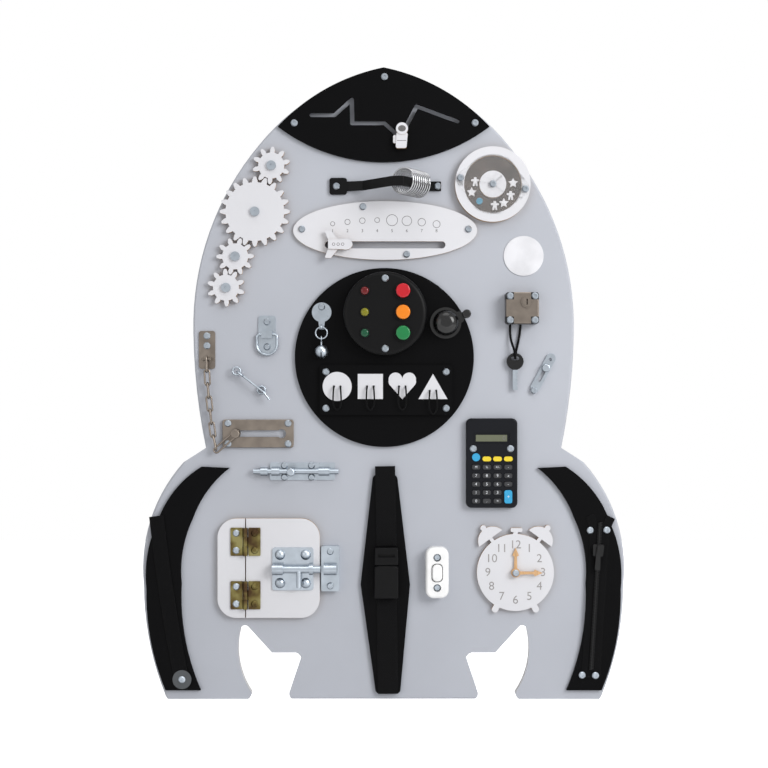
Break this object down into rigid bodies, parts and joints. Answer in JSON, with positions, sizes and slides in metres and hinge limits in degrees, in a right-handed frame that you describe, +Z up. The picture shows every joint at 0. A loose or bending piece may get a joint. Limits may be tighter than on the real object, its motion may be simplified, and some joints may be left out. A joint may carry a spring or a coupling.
{
  "type": "busy board",
  "caption": "Rocket-shaped wooden busy board for a wall, with gears, latches, bolts, a door, a lock, buttons, a bell, a zip, a clock and a calculator for a toddler's hands",
  "frame": {"origin": "middle of the board's back, on the wall plane, half way up", "axes": "+Z up, +X to the right as seen from the front, the front faces -Y"},
  "size_m": [0.5336, 0.0654, 0.7],
  "materials": {
    "board_wood": "matte",
    "white_ply": "matte",
    "black_panel": "satin",
    "zinc": "satin",
    "nickel": "satin",
    "antique": "aged",
    "red_plastic": "gloss",
    "amber_plastic": "gloss",
    "green_plastic": "gloss",
    "black_plastic": "gloss",
    "white_plastic": "gloss",
    "navy_plastic": "matte",
    "clear_plastic": "clear",
    "tan_wood": "matte",
    "black_cord": "matte",
    "black_webbing": "matte",
    "bell_black": "gloss"
  },
  "bodies": {
    "board": {"board": "board_wood", "nose_panel": "black_panel", "planet_panel": "white_ply", "disc_panel": "black_panel", "lower_panels": "black_panel", "bow_handle": "black_panel", "handle_spring": "zinc", "porthole_frame": "white_ply", "porthole_window": "clear_plastic", "lamp_body": "black_plastic", "bell_body": "bell_black", "shape_sorter": "black_panel", "shape_loops": "black_cord", "door_chain": "nickel", "hinge_and_chain_plates": "nickel", "zinc_fittings": "zinc", "door_strip": "white_ply", "switch_body": "white_plastic", "clock_face": "white_ply", "calculator_case": "navy_plastic", "lock_body": "nickel", "key_cord": "black_cord", "door_key": "nickel", "zip_tape": "black_webbing", "velcro_strap": "black_webbing", "strap_webbing": "black_webbing", "buckle_socket": "black_plastic", "fixed_screws": "zinc"},
    "big_gear": {"big_gear": "white_ply"},
    "upper_gear": {"upper_gear": "white_ply"},
    "middle_gear": {"middle_gear": "white_ply"},
    "lower_gear": {"lower_gear": "white_ply"},
    "figure": {"figure_slider": "white_ply"},
    "ship": {"ship_slider": "white_ply"},
    "red_button": {"red_button": "red_plastic"},
    "amber_button": {"amber_button": "amber_plastic"},
    "green_button": {"green_button": "green_plastic"},
    "bell_lever": {"bell_lever": "bell_black"},
    "chain_slider": {"chain_slider": "nickel"},
    "lashing_ring": {"lashing_ring": "zinc"},
    "cabin_hook": {"cabin_hook": "zinc"},
    "tower_bolt": {"tower_bolt_rod": "zinc"},
    "latch_knob": {"latch_slider": "zinc"},
    "door": {"door_leaf": "white_ply", "door_plates": "antique", "door_bolt_body": "zinc"},
    "door_bolt": {"door_bolt_rod": "zinc"},
    "rocker": {"switch_rocker": "white_plastic"},
    "hour_hand": {"hour_hand": "tan_wood"},
    "minute_hand": {"minute_hand": "tan_wood"},
    "lock_plug": {"lock_plug": "nickel"},
    "zip_slider": {"zip_slider": "zinc"},
    "buckle_plug": {"buckle_plug": "black_plastic"},
    "tokens": {"porthole_tokens": "white_ply"},
    "calculator_keys": {"calculator_keys": "navy_plastic"},
    "jingle_charm": {"jingle_charm": "zinc"},
    "disc_shape": {"disc_shape": "white_ply"},
    "square_shape": {"square_shape": "white_ply"},
    "heart_shape": {"heart_shape": "white_ply"},
    "triangle_shape": {"triangle_shape": "white_ply"}
  },
  "joints": [
    {"name": "big_gear_spin", "type": "hinge", "parent": "board", "child": "big_gear", "pos_m": [-0.1421, -0.0135, 0.1892], "axis": [0, 1, 0], "continuous": true},
    {"name": "upper_gear_spin", "type": "hinge", "parent": "board", "child": "upper_gear", "pos_m": [-0.12399, -0.0135, 0.24007], "axis": [0, 1, 0], "continuous": true},
    {"name": "middle_gear_spin", "type": "hinge", "parent": "board", "child": "middle_gear", "pos_m": [-0.16381, -0.0135, 0.13975], "axis": [0, 1, 0], "continuous": true},
    {"name": "lower_gear_spin", "type": "hinge", "parent": "board", "child": "lower_gear", "pos_m": [-0.17397, -0.0135, 0.10522], "axis": [0, 1, 0], "continuous": true},
    {"name": "figure_slide", "type": "slide", "parent": "board", "child": "figure", "axis": [0.4695, 0, 0.8829], "range_m": [0, 0.037]},
    {"name": "ship_slide", "type": "slide", "parent": "board", "child": "ship", "axis": [1, 0, 0], "range_m": [-0.0105, 0.114]},
    {"name": "red_press", "type": "slide", "parent": "board", "child": "red_button", "axis": [0, 1, 0], "range_m": [0, 0.0032], "stiffness_N_per_m": 300},
    {"name": "amber_press", "type": "slide", "parent": "board", "child": "amber_button", "axis": [0, 1, 0], "range_m": [0, 0.0032], "stiffness_N_per_m": 300},
    {"name": "green_press", "type": "slide", "parent": "board", "child": "green_button", "axis": [0, 1, 0], "range_m": [0, 0.0032], "stiffness_N_per_m": 300},
    {"name": "bell_lever_turn", "type": "hinge", "parent": "board", "child": "bell_lever", "pos_m": [0.0833, -0.0187, 0.07245], "axis": [0, 1, 0], "range_deg": [0, 25], "stiffness_Nm_per_rad": 0.03},
    {"name": "chain_slide", "type": "slide", "parent": "board", "child": "chain_slider", "axis": [1, 0, 0], "range_m": [0, 0.0495], "deforming": ["door_chain"]},
    {"name": "ring_swing", "type": "hinge", "parent": "board", "child": "lashing_ring", "pos_m": [-0.129, -0.01335, 0.0536], "axis": [-1, 0, 0], "range_deg": [0, 150]},
    {"name": "hook_swing", "type": "hinge", "parent": "board", "child": "cabin_hook", "pos_m": [-0.15888, -0.0172, 0.01063], "axis": [-0.6125, 0, -0.7904], "range_deg": [0, 60]},
    {"name": "tower_bolt_slide", "type": "slide", "parent": "board", "child": "tower_bolt", "axis": [1, 0, 0], "range_m": [0, 0.02]},
    {"name": "latch_slide", "type": "slide", "parent": "board", "child": "latch_knob", "axis": [0.4741, 0, 0.8805], "range_m": [-0.0145, 0.0028]},
    {"name": "door_swing", "type": "hinge", "parent": "board", "child": "door", "pos_m": [-0.1523, -0.0189, -0.2043], "axis": [0, 0, -1], "range_deg": [0, 100]},
    {"name": "door_bolt_slide", "type": "slide", "parent": "door", "child": "door_bolt", "axis": [1, 0, 0], "range_m": [-0.008, 0.0085]},
    {"name": "rocker_tilt", "type": "hinge", "parent": "board", "child": "rocker", "pos_m": [0.0589, -0.02, -0.2086], "axis": [1, 0, 0], "range_deg": [-6, 6]},
    {"name": "keys_press", "type": "slide", "parent": "board", "child": "calculator_keys", "axis": [0, 1, 0], "range_m": [0, 0.0009], "stiffness_N_per_m": 800},
    {"name": "hour_turn", "type": "hinge", "parent": "board", "child": "hour_hand", "pos_m": [0.1456, -0.0164, -0.2092], "axis": [0, 1, 0], "continuous": true},
    {"name": "minute_turn", "type": "hinge", "parent": "board", "child": "minute_hand", "pos_m": [0.1456, -0.0188, -0.2092], "axis": [0, 1, 0], "continuous": true},
    {"name": "plug_turn", "type": "hinge", "parent": "board", "child": "lock_plug", "pos_m": [0.1572, -0.02, 0.089], "axis": [0, 1, 0], "range_deg": [0, 90]},
    {"name": "zip_slide", "type": "slide", "parent": "board", "child": "zip_slider", "axis": [-0.0611, 0, -0.9981], "range_m": [-0.018, 0.105]},
    {"name": "buckle_slide", "type": "slide", "parent": "board", "child": "buckle_plug", "axis": [0, 0, 1], "range_m": [0, 0.02], "deforming": ["strap_webbing"]},
    {"name": "token_swirl", "type": "hinge", "parent": "board", "child": "tokens", "pos_m": [0.1204, -0.013, 0.2193], "axis": [0, 1, 0], "continuous": true},
    {"name": "charm_swing", "type": "hinge", "parent": "board", "child": "jingle_charm", "pos_m": [-0.0684, -0.022, 0.0614], "axis": [-1, 0, 0], "range_deg": [0, 80]},
    {"name": "disc_pull", "type": "slide", "parent": "board", "child": "disc_shape", "axis": [0, -1, 0], "range_m": [0, 0.012], "deforming": ["shape_loops"]},
    {"name": "square_pull", "type": "slide", "parent": "board", "child": "square_shape", "axis": [0, -1, 0], "range_m": [0, 0.012], "deforming": ["shape_loops"]},
    {"name": "heart_pull", "type": "slide", "parent": "board", "child": "heart_shape", "axis": [0, -1, 0], "range_m": [0, 0.012], "deforming": ["shape_loops"]},
    {"name": "triangle_pull", "type": "slide", "parent": "board", "child": "triangle_shape", "axis": [0, -1, 0], "range_m": [0, 0.012], "deforming": ["shape_loops"]}
  ],
  "couplings": [
    {"joint": "upper_gear_spin", "follows": "big_gear_spin", "ratio": -2},
    {"joint": "middle_gear_spin", "follows": "big_gear_spin", "ratio": -2},
    {"joint": "lower_gear_spin", "follows": "big_gear_spin", "ratio": 2}
  ]
}
